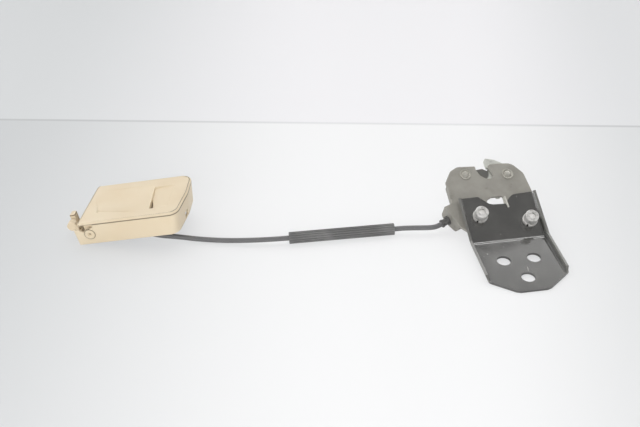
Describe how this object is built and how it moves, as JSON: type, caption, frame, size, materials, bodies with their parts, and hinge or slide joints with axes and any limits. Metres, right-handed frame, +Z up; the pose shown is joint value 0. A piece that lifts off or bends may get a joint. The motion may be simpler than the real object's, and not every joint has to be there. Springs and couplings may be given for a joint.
{
  "type": "seat backrest latch",
  "caption": "Seat backrest latch on a folded steel mounting bracket, opened through a Bowden cable by a moulded release handle.",
  "frame": {"origin": "centre of the mounting bracket's bolt circle on the underside of its lower panel", "axes": "+X along the bracket's fold, away from the handle; +Y from the bracket's front edge to the striker mouth; +Z up, with the assembly lying on a table"},
  "size_m": [0.462, 0.2099, 0.0467],
  "materials": {
    "black_paint": "gloss black",
    "zinc_plate": "dull olive zinc",
    "claw_steel": "light zinc",
    "bright_zinc": "bright zinc",
    "black_fitting": "matte",
    "wire_steel": "stranded",
    "spring_steel": "plain",
    "beige_plastic": "fine grain",
    "black_casing": "satin",
    "black_foam": "ribbed, matte"
  },
  "bodies": {
    "frame": {"mounting_bracket": "black_paint", "lock_plate": "zinc_plate", "back_plate": "zinc_plate", "claw_rivet": "zinc_plate", "pawl_rivet": "zinc_plate", "cap_screws": "bright_zinc", "spring_washers": "bright_zinc", "weld_nuts": "zinc_plate", "latch_ferrule": "black_fitting", "latch_spring": "spring_steel", "handle_housing": "beige_plastic", "handle_ferrule": "black_fitting", "hinge_pin": "beige_plastic", "pin_clip": "spring_steel", "lever_spring": "spring_steel", "cable_casing": "black_casing", "ribbed_sleeve": "black_foam"},
    "claw": {"claw": "claw_steel"},
    "pawl": {"pawl": "claw_steel"},
    "lever": {"release_lever": "beige_plastic"},
    "latch_core": {"latch_core_wire": "wire_steel", "latch_nipple": "wire_steel"},
    "handle_core": {"handle_core_wire": "wire_steel", "handle_nipple": "wire_steel"}
  },
  "joints": [
    {"name": "lever_hinge", "type": "hinge", "parent": "frame", "child": "lever", "pos_m": [-0.38786, 0.14057, 0.01127], "axis": [-0.2419, -0.9703, 0], "range_deg": [0, 24], "stiffness_Nm_per_rad": 0.06, "springref_deg": -20.05},
    {"name": "pawl_hinge", "type": "hinge", "parent": "frame", "child": "pawl", "pos_m": [-0.025, 0.10809, 0.03484], "axis": [0, -0.4756, 0.8797], "range_deg": [-7.21, 0], "deforming": ["latch_spring"]},
    {"name": "claw_hinge", "type": "hinge", "parent": "frame", "child": "claw", "pos_m": [0.0177, 0.10448, 0.03289], "axis": [0, -0.4756, 0.8797], "range_deg": [0, 28], "stiffness_Nm_per_rad": 0.2, "springref_deg": -20.05, "deforming": ["latch_spring"]},
    {"name": "latch_core_slide", "type": "slide", "parent": "frame", "child": "latch_core", "axis": [-0.9124, -0.36, -0.1947], "range_m": [0, 0.00366]},
    {"name": "handle_core_slide", "type": "slide", "parent": "frame", "child": "handle_core", "axis": [-0.9435, 0.2352, 0.2334], "range_m": [0, 0.00366]}
  ],
  "couplings": [
    {"joint": "pawl_hinge", "follows": "lever_hinge", "ratio": -0.2964},
    {"joint": "latch_core_slide", "follows": "lever_hinge", "m_per_rad": 0.0085},
    {"joint": "handle_core_slide", "follows": "lever_hinge", "m_per_rad": 0.0085}
  ]
}
